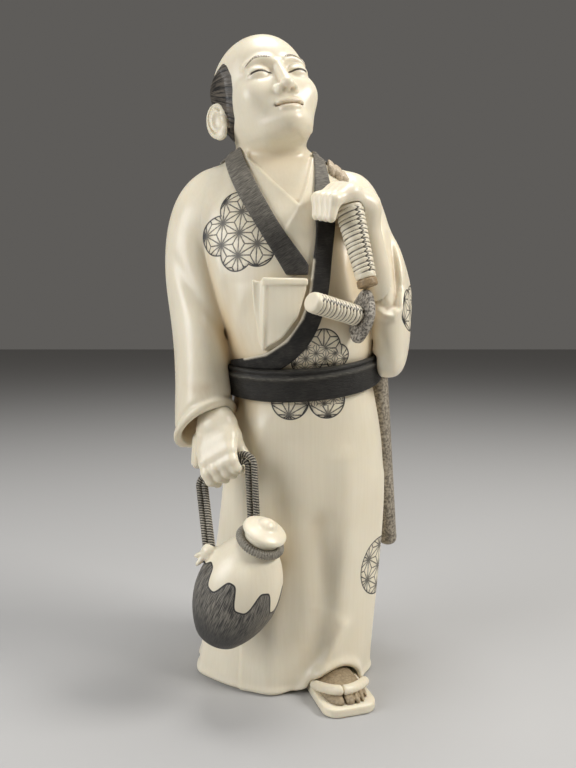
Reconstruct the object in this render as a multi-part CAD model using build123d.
from build123d import *
from collections import namedtuple
import math
import os

# Standing figure in a belted robe, carved in pegged pieces, with a roped jar in its right fist.
# Millimetres. +Z up, the figure faces -Y, +X on the viewer's right.
# The origin is the middle of the base cap's underside.

Oval = namedtuple("Oval", "height x y width depth turn", defaults=(0.0,))

# Robe: cross-sections from the hem to the neck
WAIST_HEIGHT = 107.4
WAIST_X = 4.5
WAIST_WIDTH = 50.0
WAIST_DEPTH = 46.0
HEM_WIDTH = 62.2
HEM_DEPTH = 48.0
KNEE_WIDTH = 59.4
KNEE_DEPTH = 46.0
CHEST_WIDTH = 57.0
CHEST_DEPTH = 53.0
SHOULDER_WIDTH = 63.0
SHOULDER_DEPTH = 43.0
NECK_OPENING = 26.0
SKIRT = (
    Oval(0.0, -2.4, -1.0, HEM_WIDTH, HEM_DEPTH, -11.0),
    Oval(20.0, 0.0, 0.0, 60.4, 47.0, -9.0),
    Oval(38.0, 2.4, 0.8, KNEE_WIDTH, KNEE_DEPTH, -7.0),
    Oval(55.0, 4.5, 0.8, 57.9, 47.0, -4.0),
    Oval(72.0, 5.8, 0.5, 56.0, 48.0),
    Oval(88.0, 6.0, 0.2, 52.5, 47.5),
    Oval(WAIST_HEIGHT + 16.0, WAIST_X, 0.0, WAIST_WIDTH, WAIST_DEPTH),
)
TORSO = (
    Oval(WAIST_HEIGHT - 12.0, WAIST_X, 0.0, WAIST_WIDTH, WAIST_DEPTH),
    Oval(WAIST_HEIGHT + 4.0, 4.5, -0.5, 52.5, 50.0),
    Oval(WAIST_HEIGHT + 19.0, 2.5, -0.8, CHEST_WIDTH, CHEST_DEPTH),
    Oval(WAIST_HEIGHT + 37.0, -1.0, -0.2, 62.0, 50.0),
    Oval(WAIST_HEIGHT + 51.0, -3.0, 1.0, SHOULDER_WIDTH, SHOULDER_DEPTH),
    Oval(WAIST_HEIGHT + 60.0, -4.0, 2.0, 57.0, 36.0),
    Oval(WAIST_HEIGHT + 67.0, -4.6, 2.5, 44.0, 30.0),
    Oval(WAIST_HEIGHT + 72.0, -5.0, 2.5, 31.0, 25.0),
    Oval(WAIST_HEIGHT + 74.5, -5.0, 2.5, NECK_OPENING, 22.0),
)

# Belt: a band on the tilted waist joint, low in front and a little high on the viewer's right
WAIST_TILT = 10.5
WAIST_ROLL = 3.5
OBI_WIDTH = 10.5
OBI_THICKNESS = 2.0

# Collar bands, paper packet and towel lie on the torso. Outlines are (across, above the waist).
COLLAR_THICKNESS = 1.7
PACKET_THICKNESS = 3.0
TOWEL_THICKNESS = 3.4
TOWEL_WIDTH = 7.6
TOWEL_X = 13.3
TOWEL_FRONT = 9.0
TOWEL_BACK_DROP = 30.0
COLLAR_BACK_DROP = 9.0
COLLAR_BACK_WIDTH = 37.0
RIGHT_COLLAR_OUTER = ((-21.5, 71.0), (-18.6, 62.0), (-12.2, 49.8), (-5.7, 39.0), (-0.6, 30.4))
RIGHT_COLLAR_INNER = ((-16.0, 75.0), (-11.8, 64.0), (-6.4, 53.3), (-1.0, 44.1), (3.7, 37.6), (6.5, 33.6))
RIGHT_COLLAR_FOOT = (6.4, 30.4)
LEFT_COLLAR_INNER = (
    (8.0, 73.0), (8.7, 63.0), (8.4, 53.4), (8.8, 44.8), (7.8, 35.0), (6.6, 25.8), (4.0, 17.0), (-0.9, 10.2),
    (-7.4, 6.0), (-14.0, 4.2), (-19.0, 3.4),
)
LEFT_COLLAR_OUTER = (
    (12.4, 72.0), (13.9, 61.0), (15.2, 50.0), (14.1, 38.0), (12.8, 25.8), (10.4, 16.4), (6.4, 8.6),
    (0.5, 2.6), (-6.0, -1.0),
)
LEFT_COLLAR_FOOT = -6.0
PACKET = (
    (-11.8, 29.7), (6.2, 29.3), (6.3, 25.8), (3.6, 17.0), (-1.3, 10.5), (-7.6, 6.5), (-10.2, 8.6),
    (-11.4, 20.0),
)

# Hollow of the skirt, base cap and dowels
CAP_DIAMETER = 27.0
CAP_THICKNESS = 5.0
HOLLOW_WIDTH = 22.0
HOLLOW_TIP = 8.0
HOLLOW_HEIGHT = 82.0
FIT = 0.05
WAIST_DOWEL_DIAMETER = 9.0
WAIST_DOWEL_LENGTH = 26.0
NECK_DOWEL_DIAMETER = 5.0
NECK_DOWEL_LENGTH = 18.0
HAND_DOWEL_DIAMETER = 3.0
HAND_DOWEL_LENGTH = 12.0
SWORD_DOWEL_DIAMETER = 2.6
SWORD_DOWEL_LENGTH = 11.0
HILT_DOWEL_SINK = 2.2
FOOT_DOWEL_DIAMETER = 3.0
FOOT_DOWEL_LENGTH = 9.0

# Head: cross-sections about its own middle, then turned on the neck
HEAD_WIDTH = 31.5
HEAD_DEPTH = 37.0
HEAD_CENTRE = (-7.8, -1.5, WAIST_HEIGHT + 90.2)
HEAD_PITCH = -22.0
HEAD_ROLL = -9.0
HEAD_YAW = 22.0
NECK_DIAMETER = 21.0
NECK_TOP = (-6.0, 1.0, WAIST_HEIGHT + 85.0)
EAR = (4.5, 8.0, 11.5)
EAR_PLACE = (HEAD_WIDTH / 2 - 0.5, 3.6, -4.0)
NOSE = (5.0, 6.4, 9.0)
NOSE_PLACE = (0.0, -16.6, -3.5)
HEAD = (
    Oval(-20.8, 0.0, -9.2, 12.0, 9.5),
    Oval(-17.5, 0.0, -7.6, 20.0, 17.0),
    Oval(-10.0, 0.0, -3.6, 27.0, 28.6),
    Oval(0.0, 0.0, -0.5, 30.6, 36.0),
    Oval(8.5, 0.0, 0.7, HEAD_WIDTH, HEAD_DEPTH),
    Oval(15.4, 0.0, 1.1, 27.2, 32.4),
    Oval(19.4, 0.0, 1.3, 19.0, 22.6),
    Oval(21.2, 0.0, 1.4, 9.0, 10.8),
)
HAIR_THICKNESS = 1.0
HAIR_BOTTOM = -12.5
HAIR_TOP = 11.0
HAIR_EDGE = (
    (-5.4, HAIR_TOP), (-8.3, 8.4), (-9.5, 3.8), (-7.9, -0.6), (-5.6, -4.5), (-3.0, -10.4), (2.0, HAIR_BOTTOM),
)
TOPKNOT_DIAMETER = 5.0

# Sleeves
RIGHT_SLEEVE = (
    Oval(WAIST_HEIGHT + 66.0, -25.5, 1.0, 8.0, 12.0),
    Oval(WAIST_HEIGHT + 60.0, -28.4, 1.0, 17.0, 21.0),
    Oval(WAIST_HEIGHT + 53.0, -30.0, 0.5, 20.6, 25.0),
    Oval(WAIST_HEIGHT + 41.0, -31.0, -0.5, 22.4, 27.5),
    Oval(WAIST_HEIGHT + 24.0, -30.1, -3.0, 21.0, 29.0),
    Oval(WAIST_HEIGHT + 2.0, -28.5, -7.0, 19.6, 30.0),
    Oval(WAIST_HEIGHT - 14.0, -28.2, -10.0, 20.2, 30.0),
    Oval(WAIST_HEIGHT - 33.0, -28.3, -11.5, 19.8, 26.0),
)
LEFT_SLEEVE = (
    Oval(WAIST_HEIGHT + 66.0, 21.1, 2.0, 8.2, 13.0),
    Oval(WAIST_HEIGHT + 60.0, 23.7, 1.0, 13.6, 21.0),
    Oval(WAIST_HEIGHT + 46.0, 27.4, 0.0, 16.9, 26.0),
    Oval(WAIST_HEIGHT + 28.0, 32.0, -1.5, 18.8, 29.0),
    Oval(WAIST_HEIGHT + 12.0, 33.2, -3.0, 18.0, 28.5),
    Oval(WAIST_HEIGHT + 1.0, 33.3, -4.0, 14.0, 23.0),
    Oval(WAIST_HEIGHT - 3.0, 33.3, -4.0, 8.0, 14.0),
)
CUFF_CENTRE = (-29.0, -11.0, WAIST_HEIGHT - 20.9)
CUFF_TILT = -24.0
CUFF_ROLL = -31.0
CUFF_WALL = 2.2
CUFF_DEPTH = 14.0

# Right fist. The rope's grip is a straight run through it.
GRIP = (-20.6, -24.0, WAIST_HEIGHT - 31.0)
GRIP_AXIS = (0.831, -0.226, 0.509)
GRIP_LENGTH = 11.2
RIGHT_ELBOW = (-28.6, -8.5, WAIST_HEIGHT - 1.0)
RIGHT_WRIST = (-24.0, -18.5, WAIST_HEIGHT - 17.4)
WRIST_DIAMETER = 11.0
FINGER_DIAMETER = 4.2
THUMB_DIAMETER = 4.4
THUMB = (
    (-21.4, -19.4, WAIST_HEIGHT - 15.6),
    (-17.8, -20.2, WAIST_HEIGHT - 21.4),
    (-15.0, -21.0, WAIST_HEIGHT - 27.2),
    (-13.8, -21.4, WAIST_HEIGHT - 30.6),
)
PALM_HEEL = ((-29.0, -16.6, WAIST_HEIGHT - 23.0), (-29.9, -17.4, WAIST_HEIGHT - 30.4))
PALM_HEEL_DIAMETER = 5.0
FIST_END_DIAMETER = 9.2
FIST_END_LENGTH = 6.0

# Left forearm and hand, hooked over the long hilt
LEFT_ELBOW = (34.0, -9.0, WAIST_HEIGHT + 14.0)
LEFT_WRIST = (23.8, -18.6, WAIST_HEIGHT + 52.6)
LEFT_KNUCKLES = (17.2, -22.0, WAIST_HEIGHT + 56.4)
LEFT_BEND = (11.8, -26.4, WAIST_HEIGHT + 53.6)
LEFT_TIPS = (11.0, -27.9, WAIST_HEIGHT + 48.2)
FINGER_STEP = (1.2, -3.2, -0.7)
FOREARM_DIAMETER = 8.6

# Swords
HILT_WIDTH = 9.0
HILT_DEPTH = 7.6
LONG_HILT_TOP = (18.8, -24.7, WAIST_HEIGHT + 52.0)
LONG_HILT_BOTTOM = (24.4, -26.8, WAIST_HEIGHT + 29.2)
HILT_END_WIDTH = 6.4
HILT_END_DEPTH = 6.0
HILT_COLLAR_DIAMETER = 6.6
HILT_COLLAR_LENGTH = 2.6
SHORT_HILT_POMMEL = (5.6, -37.6, WAIST_HEIGHT + 22.2)
SHORT_HILT_GUARD = (23.6, -25.6, WAIST_HEIGHT + 17.2)
GUARD_LOBE = 10.2
GUARD_SPREAD = 3.9
GUARD_DROP = 1.6
GUARD_THICKNESS = 2.2
SCABBARD_WIDTH = 7.0
SCABBARD_DEPTH = 9.5
SCABBARD_TIP = 1.5
SCABBARD_TOP = (32.2, 6.0, WAIST_HEIGHT + 3.0)
SCABBARD_BOTTOM = (37.4, 10.5, 41.0)
SCABBARD_DOWEL_HEIGHT = 62.0

# Foot and sandal
SOLE_LENGTH = 27.5
SOLE_WIDTH = 18.0
SOLE_THICKNESS = 3.0
SOLE_CENTRE = (16.6, -24.4)
SOLE_CORNER = 5.0
FOOT_TURN = 17.0
ARCH_HEIGHT = 8.8
ARCH_CLEARANCE = 1.2
ARCH_GAP = 1.0
FOOT_WIDTH = 15.2
FOOT_HEIGHT = 4.7
FOOT_SHAPE = (
    (0.0, 0.8, 0.95), (0.35, 0.95, 1.0), (0.68, 1.0, 0.72), (0.88, 0.8, 0.5), (0.95, 0.5, 0.3),
)
TOE_SLOT = 0.8
STRAP_DIAMETER = 3.2

# Jar, lid, cord and rope
JAR_LENGTH = 35.4
JAR_DIAMETER = 26.8
JAR_BASE_DIAMETER = 15.6
JAR_NECK_DIAMETER = 11.0
JAR_NECK_HEIGHT = 4.0
JAR_MOUTH_DIAMETER = 7.0
JAR_MOUTH_DEPTH = 7.0
JAR_AXIS = (0.384, -0.262, 0.902)
JAR_BASE = (GRIP[0] - 1.8, GRIP[1] - 4.9, GRIP[2] - 52.5)
LUG_HEIGHT = 25.6
LUG_SIZE = 5.4
LUG_SIDE = (-1.0, 0.2, 0.0)
LUG_PRONGS = ((-4.2, -0.4, -1.3), (-3.7, -1.4, -3.6))
PRONG_DIAMETER = 2.4
CORD_DIAMETER = 2.6
LID_DIAMETER = 14.0
LID_HEIGHT = 3.2
KNOB_DIAMETER = 7.0
KNOB_RISE = 2.0
LID_GAP = 0.3
SPIGOT_LENGTH = 5.0
ROPE_DIAMETER = 2.1
ROPE_GAP = 0.1
ROPE_BEND = 2.6
ROPE_CLEARANCE = 0.25
BAIL_LEFT_SPAN = 9.3
BAIL_RIGHT_SPAN = 10.4
BAIL_FOOT_SIDE = (-0.25, 0.95, 0.0)


def oval_loft(ovals, grow=0.0):
    """A smooth solid through level ovals, with each oval grown all round."""
    faces = []
    for o in ovals:
        plane = Plane(origin=(o.x, o.y, o.height)).rotated((0, 0, o.turn))
        faces.append(plane * Ellipse(o.width / 2 + grow, o.depth / 2 + grow))
    return loft(faces)


def along(start, end):
    """A plane at start whose normal points at end."""
    return Plane(origin=start, z_dir=Vector(*end) - Vector(*start))


def distance(start, end):
    return (Vector(*end) - Vector(*start)).length


def capsule(start, end, start_diameter, end_diameter):
    """A round-ended, tapered rod."""
    a = start_diameter / 2
    b = end_diameter / 2
    length = distance(start, end)
    c = math.sqrt(0.5)
    profile = [
        ThreePointArc((0, -a), (a * c, -a * c), (a, 0)),
        Line((a, 0), (b, length)),
        ThreePointArc((b, length), (b * c, length + b * c), (0, length + b)),
        Line((0, length + b), (0, -a)),
    ]
    solid = revolve(Plane.XZ * make_face(profile), Axis.Z)
    return along(start, end) * solid


def rod(start, end, diameter):
    """A plain round rod with flat ends."""
    face = along(start, end) * Circle(diameter / 2)
    return extrude(face, amount=distance(start, end))


def ellipsoid(size):
    return scale(Sphere(1.0), by=(size[0] / 2, size[1] / 2, size[2] / 2))


def front_prism(outline, reach):
    """An outline of (across, above the waist) points, drawn out toward the viewer."""
    points = [(x, WAIST_HEIGHT + h) for x, h in outline]
    face = make_face(Polyline(*points, close=True))
    return extrude(Plane.XZ * face, amount=reach)


def front_band(one_edge, other_edge, end, reach):
    """A band between two smooth edges, both drawn top to bottom, closed below over an end corner."""
    one = [(x, WAIST_HEIGHT + h) for x, h in one_edge]
    other = [(x, WAIST_HEIGHT + h) for x, h in other_edge]
    close = [(x, WAIST_HEIGHT + h) for x, h in end]
    edges = [Spline(*one), Spline(*other), Line(one[0], other[0]), Polyline(one[-1], *close, other[-1])]
    return extrude(Plane.XZ * make_face(edges), amount=reach)


def offset_point(point, direction, amount):
    return tuple(Vector(*point) + Vector(*direction).normalized() * amount)


def dowel(middle, direction, diameter, length):
    """(peg, bore) about a middle point."""
    start = offset_point(middle, direction, -length / 2)
    end = offset_point(middle, direction, length / 2)
    deep_start = offset_point(middle, direction, -length / 2 - FIT)
    deep_end = offset_point(middle, direction, length / 2 + FIT)
    return rod(start, end, diameter), rod(deep_start, deep_end, diameter + 2 * FIT)


def cut(solid, *tools):
    return solid - list(tools)


def join(pieces):
    return pieces[0] + pieces[1:]


def largest(shape):
    """The biggest of the solids a cut leaves, without slivers."""
    return max(shape.solids(), key=lambda s: s.volume)


# Robe core, parted on the tilted waist plane
waist_plane = Plane(Location((0, 0, WAIST_HEIGHT)) * Rot(X=WAIST_TILT) * Rot(Y=-WAIST_ROLL))
torso_whole = oval_loft(TORSO)
skirt_whole = oval_loft(SKIRT)
torso = split(torso_whole, bisect_by=waist_plane, keep=Keep.TOP)
skirt = split(skirt_whole, bisect_by=waist_plane, keep=Keep.BOTTOM)
waist_peg, waist_bore = dowel((WAIST_X, 0, WAIST_HEIGHT), (0, 0, 1), WAIST_DOWEL_DIAMETER, WAIST_DOWEL_LENGTH)
neck_base = (TORSO[-1].x, TORSO[-1].y, TORSO[-1].height)
neck_peg, neck_bore = dowel(neck_base, (0, 0, 1), NECK_DOWEL_DIAMETER, NECK_DOWEL_LENGTH)
cap = extrude(Circle(CAP_DIAMETER / 2), amount=CAP_THICKNESS)
cap_bore = extrude(Circle(CAP_DIAMETER / 2 + FIT), amount=CAP_THICKNESS + FIT)
hollow_height = HOLLOW_HEIGHT - CAP_THICKNESS
hollow = Pos(0, 0, CAP_THICKNESS + hollow_height / 2) * Cone(HOLLOW_WIDTH / 2, HOLLOW_TIP / 2, hollow_height)
heel = SOLE_CENTRE[1] + SOLE_LENGTH / 2
arch_end = heel + ARCH_GAP
arch_plane = Plane.XZ.offset(-arch_end)
arch_face = arch_plane * Pos(SOLE_CENTRE[0], 0) * Ellipse(SOLE_WIDTH / 2 + ARCH_CLEARANCE, ARCH_HEIGHT)
foot_turn = Pos(*SOLE_CENTRE) * Rot(Z=FOOT_TURN) * Pos(-SOLE_CENTRE[0], -SOLE_CENTRE[1])
arch = foot_turn * extrude(arch_face, amount=HEM_DEPTH)
torso = cut(torso, waist_bore, neck_bore)
skirt = cut(skirt, waist_bore, cap_bore, hollow, arch)

# Belt
obi_face = waist_plane.offset(-OBI_WIDTH / 2) * Pos(WAIST_X, 0) * Ellipse(
    TORSO[1].width / 2 + OBI_THICKNESS, TORSO[1].depth / 2 + OBI_THICKNESS
)
obi = cut(extrude(obi_face, amount=OBI_WIDTH), torso_whole, skirt_whole)

# Layers on the chest and shoulder
middle_x = TORSO[-1].x
collar_shell = oval_loft(TORSO, COLLAR_THICKNESS)
collar_back = Pos(middle_x, 0, TORSO[-1].height - COLLAR_BACK_DROP) * Box(
    COLLAR_BACK_WIDTH, NECK_OPENING, 2 * COLLAR_BACK_DROP, align=(Align.CENTER, Align.MIN, Align.MIN)
)
right_half = Pos(middle_x, 0, WAIST_HEIGHT) * Box(
    SHOULDER_WIDTH, 2 * SHOULDER_DEPTH, 200, align=(Align.MAX, Align.CENTER, Align.CENTER)
)
left_half = Pos(middle_x, 0, WAIST_HEIGHT) * Box(
    SHOULDER_WIDTH, 2 * SHOULDER_DEPTH, 200, align=(Align.MIN, Align.CENTER, Align.CENTER)
)
right_front = front_band(RIGHT_COLLAR_OUTER, RIGHT_COLLAR_INNER, [RIGHT_COLLAR_FOOT], SHOULDER_DEPTH)
left_corners = [(LEFT_COLLAR_INNER[-1][0], LEFT_COLLAR_FOOT), (LEFT_COLLAR_OUTER[-1][0], LEFT_COLLAR_FOOT)]
left_front = front_band(LEFT_COLLAR_INNER, LEFT_COLLAR_OUTER, left_corners, SHOULDER_DEPTH)
right_area = right_front + (collar_back & right_half)
left_area = left_front + (collar_back & left_half)
right_collar = largest(cut(collar_shell & right_area, torso_whole))
left_collar = largest(cut(collar_shell & left_area, torso_whole, obi))
packet_shell = oval_loft(TORSO, PACKET_THICKNESS)
packet = largest(cut(packet_shell & front_prism(PACKET, SHOULDER_DEPTH), torso_whole, obi))

# Sleeves, hollow at the right cuff
cuff_plane = Plane(Location(CUFF_CENTRE) * Rot(Y=CUFF_ROLL) * Rot(X=CUFF_TILT))
right_sleeve = split(oval_loft(RIGHT_SLEEVE), bisect_by=cuff_plane, keep=Keep.TOP)
cuff_inside = oval_loft(RIGHT_SLEEVE, -CUFF_WALL)
cuff_hollow = split(cuff_inside, bisect_by=cuff_plane.offset(CUFF_DEPTH), keep=Keep.BOTTOM)
right_sleeve = largest(cut(right_sleeve, cuff_hollow, torso_whole, obi, skirt_whole))
left_sleeve = largest(cut(oval_loft(LEFT_SLEEVE), torso_whole, obi, skirt_whole))

# Towel over the left shoulder
towel_area = Pos(TOWEL_X, -TOWEL_FRONT, TORSO[-1].height - TOWEL_BACK_DROP) * Box(
    TOWEL_WIDTH, TOWEL_FRONT + SHOULDER_DEPTH, 2 * TOWEL_BACK_DROP, align=(Align.MIN, Align.MIN, Align.MIN)
)
towel = largest(cut(oval_loft(TORSO, TOWEL_THICKNESS) & towel_area, torso_whole, left_collar, left_sleeve))

# Head, hair and neck
head_place = Pos(*HEAD_CENTRE) * Rot(Z=HEAD_YAW) * Rot(Y=HEAD_ROLL) * Rot(X=HEAD_PITCH)
skull = oval_loft(HEAD)
ear = ellipsoid(EAR)
face = skull + Pos(*NOSE_PLACE) * ellipsoid(NOSE)
face = face + Pos(EAR_PLACE[0], EAR_PLACE[1], EAR_PLACE[2]) * ear
face = face + Pos(-EAR_PLACE[0], EAR_PLACE[1], EAR_PLACE[2]) * ear
neck = rod(neck_base, NECK_TOP, NECK_DIAMETER)
neck_floor = Plane(origin=neck_base)
neck = split(neck, bisect_by=neck_floor, keep=Keep.TOP)
head = largest(cut(head_place * face + neck, neck_bore, torso_whole))
hair_outline = list(HAIR_EDGE) + [(HEAD_DEPTH, HAIR_BOTTOM), (HEAD_DEPTH, HAIR_TOP)]
hair_face = Plane.YZ * make_face(Polyline(*hair_outline, close=True))
hair_area = extrude(hair_face, amount=HEAD_WIDTH, both=True)
knot_back = HEAD_DEPTH / 2
knot_bend = (0, knot_back - 3.2, HAIR_TOP + 7.4)
knot = capsule((0, knot_back - 0.8, HAIR_TOP - 1.6), knot_bend, TOPKNOT_DIAMETER, TOPKNOT_DIAMETER)
knot_tip = (0, knot_back - 12.5, HAIR_TOP + 11.8)
knot = knot + capsule(knot_bend, knot_tip, TOPKNOT_DIAMETER * 0.96, TOPKNOT_DIAMETER * 0.76)
hair_shell = (oval_loft(HEAD, HAIR_THICKNESS) & hair_area) + knot - oval_loft(HEAD, FIT)
hair = largest(cut(head_place * hair_shell, head))

# Rope path: a bail whose grip runs straight through the fist
grip_axis = Vector(*GRIP_AXIS).normalized()
jar_axis = Vector(*JAR_AXIS).normalized()
jar_place = Plane(origin=JAR_BASE, x_dir=(1, 0, 0), z_dir=jar_axis)
lug_out = Vector(*LUG_SIDE)
lug_out = (lug_out - jar_axis * lug_out.dot(jar_axis)).normalized()
lug_centre = Vector(*JAR_BASE) + jar_axis * LUG_HEIGHT + lug_out * (JAR_DIAMETER / 2 - 0.4)
neck_centre = Vector(*JAR_BASE) + jar_axis * (JAR_LENGTH - 1.5)
neck_out = Vector(*BAIL_FOOT_SIDE)
neck_out = (neck_out - jar_axis * neck_out.dot(jar_axis)).normalized()
bail_foot = neck_centre + neck_out * (JAR_NECK_DIAMETER / 2 + 2.4)
bail_left = Vector(*GRIP) - grip_axis * BAIL_LEFT_SPAN
bail_right = Vector(*GRIP) + grip_axis * BAIL_RIGHT_SPAN
left_leg = (lug_centre - bail_left).normalized()
right_leg = (bail_foot - bail_right).normalized()


def moved_corner(corner, one, other, shift):
    """A bend of the bail moved outward by shift from both of its runs."""
    between = (one + other).normalized()
    half_angle = math.acos(one.dot(other)) / 2
    return corner - between * (shift / math.sin(half_angle))


def strand(shift):
    """The bail's line moved outward by shift in its own plane, with rope round it."""
    left_out = (left_leg * left_leg.dot(grip_axis) - grip_axis).normalized()
    right_out = (grip_axis - right_leg * right_leg.dot(grip_axis)).normalized()
    corners = [
        lug_centre + left_out * shift,
        moved_corner(bail_left, left_leg, grip_axis, shift),
        moved_corner(bail_right, right_leg, grip_axis * -1, shift),
        bail_foot + right_out * shift,
    ]
    path = FilletPolyline(*[tuple(c) for c in corners], radius=ROPE_BEND + shift)
    start = Plane(origin=path @ 0, z_dir=path % 0)
    return sweep(start * Circle(ROPE_DIAMETER / 2), path=path)


half_spread = (ROPE_DIAMETER + ROPE_GAP) / 2
outer_strand = strand(half_spread)
inner_strand = strand(-half_spread)

# Jar, cord and lid, built upright and then leaned
wall = Spline(
    (JAR_BASE_DIAMETER / 2, 0),
    (JAR_DIAMETER / 2 - 2.0, JAR_LENGTH * 0.2),
    (JAR_DIAMETER / 2, JAR_LENGTH * 0.5),
    (JAR_DIAMETER / 2 - 1.7, JAR_LENGTH * 0.75),
    (JAR_NECK_DIAMETER / 2, JAR_LENGTH),
)
top = JAR_LENGTH + JAR_NECK_HEIGHT
neck_radius = JAR_NECK_DIAMETER / 2
jar_profile = [
    wall,
    Polyline((neck_radius, JAR_LENGTH), (neck_radius, top), (0, top), (0, 0), (JAR_BASE_DIAMETER / 2, 0)),
]
jar = revolve(Plane.XZ * make_face(jar_profile), Axis.Z)
jar = jar - Pos(0, 0, top - JAR_MOUTH_DEPTH / 2) * Cylinder(JAR_MOUTH_DIAMETER / 2, JAR_MOUTH_DEPTH)
cord_ring = Pos(0, 0, JAR_LENGTH + CORD_DIAMETER / 2) * Torus(
    JAR_NECK_DIAMETER / 2 + CORD_DIAMETER / 2 - 0.4, CORD_DIAMETER / 2
)
cord_ring = jar_place * cord_ring
lug = [Pos(*lug_centre) * Sphere(LUG_SIZE / 2)]
for index, reach in enumerate(LUG_PRONGS):
    root = tuple(lug_centre + Vector(*reach) * (0.12 + 0.06 * index))
    tip = tuple(lug_centre + Vector(*reach))
    lug.append(capsule(root, tip, PRONG_DIAMETER * (1.0 + 0.06 * index), PRONG_DIAMETER * 0.6))
jar = cut(join([jar_place * jar] + lug), cord_ring, outer_strand, inner_strand)
outer_strand = largest(cut(outer_strand, jar, cord_ring))
inner_strand = largest(cut(inner_strand, jar, cord_ring))
spigot_radius = JAR_MOUTH_DIAMETER / 2 - LID_GAP
rim_radius = LID_DIAMETER / 2
rim_top = (rim_radius, LID_GAP + LID_HEIGHT * 0.45)
lid_slope = (LID_DIAMETER * 0.3, LID_GAP + LID_HEIGHT * 0.9)
lid_crown = (0, LID_GAP + LID_HEIGHT)
lid_profile = [
    Polyline((0, -SPIGOT_LENGTH), (spigot_radius, -SPIGOT_LENGTH), (spigot_radius, LID_GAP)),
    Polyline((spigot_radius, LID_GAP), (rim_radius, LID_GAP), rim_top),
    ThreePointArc(rim_top, lid_slope, lid_crown),
    Line(lid_crown, (0, -SPIGOT_LENGTH)),
]
knob = Pos(0, 0, LID_GAP + LID_HEIGHT + KNOB_RISE - KNOB_DIAMETER / 2) * Sphere(KNOB_DIAMETER / 2)
lid = revolve(Plane.XZ * make_face(lid_profile), Axis.Z) + knob
lid = jar_place * (Pos(0, 0, top) * lid)

# Right hand: forearm, palm, four fingers closed round the grip, thumb
wrist = Vector(*RIGHT_WRIST)
grip = Vector(*GRIP)
hand_down = (grip - wrist).normalized()
hand_front = (grip_axis.cross(hand_down)).normalized()
if hand_front.Y > 0:
    hand_front = hand_front * -1
right_pieces = [capsule(RIGHT_ELBOW, RIGHT_WRIST, WRIST_DIAMETER, WRIST_DIAMETER)]
bore_radius = ROPE_DIAMETER + ROPE_GAP / 2 + ROPE_CLEARANCE
curl = bore_radius + FINGER_DIAMETER / 2 - 0.3
for index in range(4):
    across = grip_axis * ((index - 1.5) * GRIP_LENGTH / 4)
    top_end = wrist + across * 0.75 + hand_down * 2.0
    knuckle = grip + across - hand_down * (curl + 4.0) + hand_front * 2.2
    front_bend = grip + across + hand_front * curl * 0.9 + hand_down * 0.6
    under_bend = grip + across + hand_down * curl * 0.8 - hand_front * curl * 0.5
    joints = [tuple(point) for point in (top_end, knuckle, front_bend, under_bend)]
    right_pieces.append(capsule(joints[0], joints[1], WRIST_DIAMETER * 0.62, FINGER_DIAMETER * 1.3))
    right_pieces.append(capsule(joints[1], joints[2], FINGER_DIAMETER * 1.25, FINGER_DIAMETER))
    right_pieces.append(capsule(joints[2], joints[3], FINGER_DIAMETER * 0.96, FINGER_DIAMETER * 0.9))
right_pieces.append(capsule(THUMB[0], THUMB[1], THUMB_DIAMETER * 1.3, THUMB_DIAMETER * 1.04))
right_pieces.append(capsule(THUMB[1], THUMB[2], THUMB_DIAMETER, THUMB_DIAMETER * 0.94))
right_pieces.append(capsule(THUMB[2], THUMB[3], THUMB_DIAMETER * 0.9, THUMB_DIAMETER * 0.76))
right_pieces.append(capsule(PALM_HEEL[0], PALM_HEEL[1], PALM_HEEL_DIAMETER * 1.1, PALM_HEEL_DIAMETER * 0.92))
bore = rod(tuple(grip - grip_axis * 20), tuple(grip + grip_axis * 20), 2 * bore_radius)
zone_start = GRIP_LENGTH / 2 - ROPE_CLEARANCE
zone_end = GRIP_LENGTH / 2 + FIST_END_LENGTH
fist_left = grip - grip_axis * GRIP_LENGTH / 2
left_zone = rod(tuple(grip - grip_axis * zone_end), tuple(fist_left), FIST_END_DIAMETER)
right_zone = rod(tuple(grip + grip_axis * zone_start), tuple(grip + grip_axis * zone_end), FIST_END_DIAMETER)
right_hand = largest(cut(join(right_pieces), bore, left_zone, right_zone, right_sleeve, skirt_whole))
arm_line = (Vector(*RIGHT_ELBOW) - wrist).normalized()
right_peg_middle = tuple(wrist + arm_line * (distance(RIGHT_ELBOW, RIGHT_WRIST) * 0.62))
right_peg, right_peg_bore = dowel(right_peg_middle, tuple(arm_line), HAND_DOWEL_DIAMETER, HAND_DOWEL_LENGTH)
right_hand = cut(right_hand, right_peg_bore)
right_sleeve = cut(right_sleeve, right_peg_bore)

# Long sword: hilt with a collar, held under the left palm
hilt_line = Vector(*LONG_HILT_TOP) - Vector(*LONG_HILT_BOTTOM)
hilt_plane = along(LONG_HILT_BOTTOM, LONG_HILT_TOP)
hilt_foot = hilt_plane * Ellipse(HILT_END_WIDTH / 2, HILT_END_DEPTH / 2)
hilt_head = hilt_plane.offset(hilt_line.length) * Ellipse(HILT_WIDTH / 2, HILT_DEPTH / 2)
long_hilt = loft([hilt_foot, hilt_head])
hilt_collar = extrude(hilt_plane * Circle(HILT_COLLAR_DIAMETER / 2), amount=-HILT_COLLAR_LENGTH)

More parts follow.
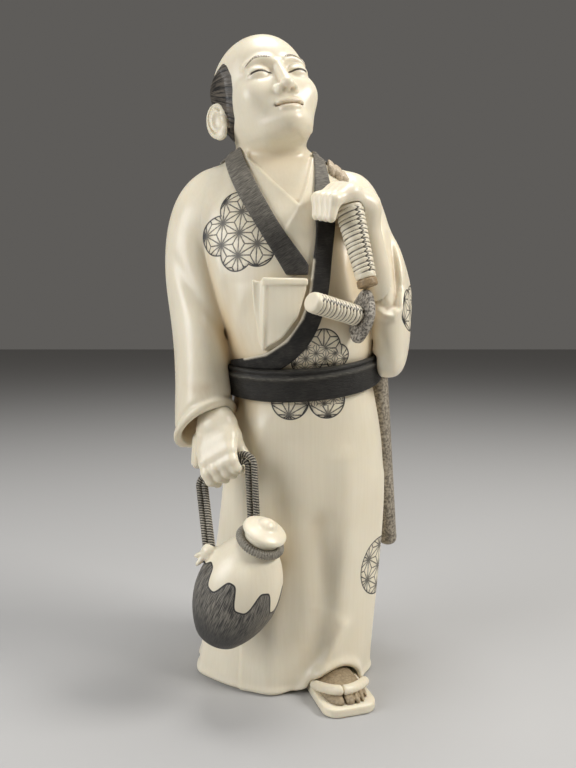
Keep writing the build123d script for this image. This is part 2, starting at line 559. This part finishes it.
# Left forearm and hand
left_pieces = [capsule(LEFT_ELBOW, LEFT_WRIST, WRIST_DIAMETER, FOREARM_DIAMETER)]
for index in range(4):
    shift = Vector(*FINGER_STEP) * (index - 1.5)
    knuckle = tuple(Vector(*LEFT_KNUCKLES) + shift)
    bend = tuple(Vector(*LEFT_BEND) + shift)
    tip = tuple(Vector(*LEFT_TIPS) + shift * 0.9)
    palm = tuple(Vector(*LEFT_WRIST) + shift * 0.6)
    left_pieces.append(capsule(palm, knuckle, FOREARM_DIAMETER * 0.8, FINGER_DIAMETER * 1.3))
    left_pieces.append(capsule(knuckle, bend, FINGER_DIAMETER * 1.25, FINGER_DIAMETER))
    left_pieces.append(capsule(bend, tip, FINGER_DIAMETER * 0.96, FINGER_DIAMETER * 0.8))
left_hand = largest(cut(join(left_pieces), long_hilt, left_sleeve, torso_whole, left_collar))
hilt_dir = tuple(hilt_line.normalized())
long_peg_middle = offset_point(LONG_HILT_TOP, hilt_dir, -HILT_DOWEL_SINK)
long_peg, long_peg_bore = dowel(long_peg_middle, hilt_dir, SWORD_DOWEL_DIAMETER, SWORD_DOWEL_LENGTH)
long_hilt = cut(long_hilt, long_peg_bore)
left_peg_middle = tuple(Vector(*LEFT_ELBOW) + Vector(1.5, 4.0, 6.0))
left_peg, left_peg_bore = dowel(left_peg_middle, (0.1, 1.0, 0.0), HAND_DOWEL_DIAMETER, HAND_DOWEL_LENGTH)
left_hand = cut(left_hand, long_peg_bore, left_peg_bore)
left_sleeve = cut(left_sleeve, left_peg_bore)

# Short sword: hilt and guard, let into the chest
short_line = Vector(*SHORT_HILT_POMMEL) - Vector(*SHORT_HILT_GUARD)
short_plane = along(SHORT_HILT_GUARD, SHORT_HILT_POMMEL)
guard_centre = Vector(*SHORT_HILT_GUARD) + Vector(0, 0, -GUARD_DROP)
guard_plane = Plane(origin=guard_centre, x_dir=(0, 0, 1), z_dir=short_plane.z_dir)
corners = [(a, b) for a in (-GUARD_SPREAD, GUARD_SPREAD) for b in (-GUARD_SPREAD, GUARD_SPREAD)]
lobes = [Pos(a, b) * Circle(GUARD_LOBE / 2) for a, b in corners]
lobes.append(Circle(GUARD_LOBE * 0.6))
guard = extrude(guard_plane * join(lobes), amount=GUARD_THICKNESS)
short_face = short_plane.offset(GUARD_THICKNESS) * Ellipse(HILT_WIDTH / 2, HILT_DEPTH / 2)
short_hilt = extrude(short_face, amount=short_line.length - GUARD_THICKNESS)
short_peg_middle = tuple(Vector(*SHORT_HILT_GUARD) + short_line * 0.2 + Vector(0, 4.5, 0))
short_peg, short_peg_bore = dowel(short_peg_middle, (0, 1, 0), SWORD_DOWEL_DIAMETER, SWORD_DOWEL_LENGTH)
short_hilt = cut(short_hilt, short_peg_bore)
guard = largest(cut(guard, torso_whole, left_sleeve, left_collar, short_peg_bore))
torso = cut(torso, short_peg_bore)

# Long sword's scabbard against the left hip
scabbard_plane = along(SCABBARD_BOTTOM, SCABBARD_TOP)
scabbard_length = distance(SCABBARD_TOP, SCABBARD_BOTTOM)
scabbard = extrude(scabbard_plane * Ellipse(SCABBARD_WIDTH / 2, SCABBARD_DEPTH / 2), amount=scabbard_length)
scabbard = fillet(scabbard.edges().group_by(Axis.Z)[0], SCABBARD_TIP)
scabbard = largest(cut(scabbard, skirt_whole, obi, torso_whole, left_sleeve))
share = (SCABBARD_DOWEL_HEIGHT - SCABBARD_BOTTOM[2]) / (SCABBARD_TOP[2] - SCABBARD_BOTTOM[2])
scabbard_middle = Vector(*SCABBARD_BOTTOM) + (Vector(*SCABBARD_TOP) - Vector(*SCABBARD_BOTTOM)) * share
scabbard_middle = tuple(scabbard_middle + Vector(-5.0, 0, 0))
scabbard_peg, scabbard_bore = dowel(scabbard_middle, (1, 0, 0), SWORD_DOWEL_DIAMETER, SWORD_DOWEL_LENGTH)
scabbard = cut(scabbard, scabbard_bore)
skirt = cut(skirt, scabbard_bore)

# Foot on its sandal, under the arch of the hem
sole_face = Pos(*SOLE_CENTRE) * RectangleRounded(SOLE_WIDTH, SOLE_LENGTH, SOLE_CORNER)
sole = foot_turn * extrude(sole_face, amount=SOLE_THICKNESS)
foot_faces = []
for share, width, height in FOOT_SHAPE:
    section = Ellipse(FOOT_WIDTH / 2 * width, FOOT_HEIGHT * height)
    plane = Plane.XZ.offset(SOLE_LENGTH * share - heel)
    foot_faces.append(plane * Pos(SOLE_CENTRE[0], SOLE_THICKNESS) * section)
foot = loft(foot_faces)
foot = split(foot, bisect_by=Plane.XY.offset(SOLE_THICKNESS), keep=Keep.TOP)
slot_x = SOLE_CENTRE[0] - FOOT_WIDTH * 0.12
toe = heel - SOLE_LENGTH
toe_slot = Pos(slot_x, toe, SOLE_THICKNESS) * Box(TOE_SLOT, SOLE_LENGTH * 0.55, 4 * FOOT_HEIGHT)
foot = foot_turn * (foot - toe_slot)
strap_top = SOLE_THICKNESS + FOOT_HEIGHT
strap_front = (slot_x, heel - SOLE_LENGTH * 0.66, strap_top - 1.0)
strap_left = (SOLE_CENTRE[0] - FOOT_WIDTH / 2 - 0.6, heel - SOLE_LENGTH * 0.36, SOLE_THICKNESS + 0.8)
strap_right = (SOLE_CENTRE[0] + FOOT_WIDTH / 2 + 0.6, heel - SOLE_LENGTH * 0.36, SOLE_THICKNESS + 0.8)
strap_left_top = (SOLE_CENTRE[0] - FOOT_WIDTH * 0.36, heel - SOLE_LENGTH * 0.49, strap_top - 1.6)
strap_right_top = (SOLE_CENTRE[0] + FOOT_WIDTH * 0.33, heel - SOLE_LENGTH * 0.49, strap_top - 1.2)


def strap_half(middle, end):
    path = Spline(strap_front, middle, end)
    start = Plane(origin=path @ 0, z_dir=path % 0)
    return sweep(start * Circle(STRAP_DIAMETER / 2), path=path)


strap = strap_half(strap_left_top, strap_left) + strap_half(strap_right_top, strap_right)
strap = foot_turn * (strap + Pos(*strap_front) * Sphere(STRAP_DIAMETER / 2))
strap = largest(cut(strap, foot, sole, skirt))
foot_peg_middle = (SOLE_CENTRE[0], heel - SOLE_LENGTH * 0.26, ARCH_HEIGHT)
foot_peg, foot_bore = dowel(foot_peg_middle, (0, 0, 1), FOOT_DOWEL_DIAMETER, FOOT_DOWEL_LENGTH)
foot_peg = foot_turn * foot_peg
foot_bore = foot_turn * foot_bore
foot = cut(foot, foot_bore)
skirt = cut(skirt, foot_bore)

parts = {
    "skirt": skirt,
    "base_cap": cap,
    "torso": torso,
    "waist_dowel": waist_peg,
    "obi": obi,
    "right_collar": right_collar,
    "left_collar": left_collar,
    "paper_packet": packet,
    "head": head,
    "hair": hair,
    "neck_dowel": neck_peg,
    "right_sleeve": right_sleeve,
    "left_sleeve": left_sleeve,
    "right_hand": right_hand,
    "right_hand_dowel": right_peg,
    "left_hand": left_hand,
    "left_hand_dowel": left_peg,
    "long_hilt": long_hilt,
    "long_hilt_collar": hilt_collar,
    "long_hilt_dowel": long_peg,
    "long_scabbard": scabbard,
    "scabbard_dowel": scabbard_peg,
    "short_hilt": short_hilt,
    "short_guard": guard,
    "short_hilt_dowel": short_peg,
    "shoulder_towel": towel,
    "left_foot": foot,
    "sandal_sole": sole,
    "sandal_strap": strap,
    "foot_dowel": foot_peg,
    "jar": jar,
    "jar_cord": cord_ring,
    "jar_lid": lid,
    "outer_rope": outer_strand,
    "inner_rope": inner_strand,
}

os.makedirs("parts", exist_ok=True)
for name, solid in parts.items():
    export_step(solid, f"parts/{name}.step")
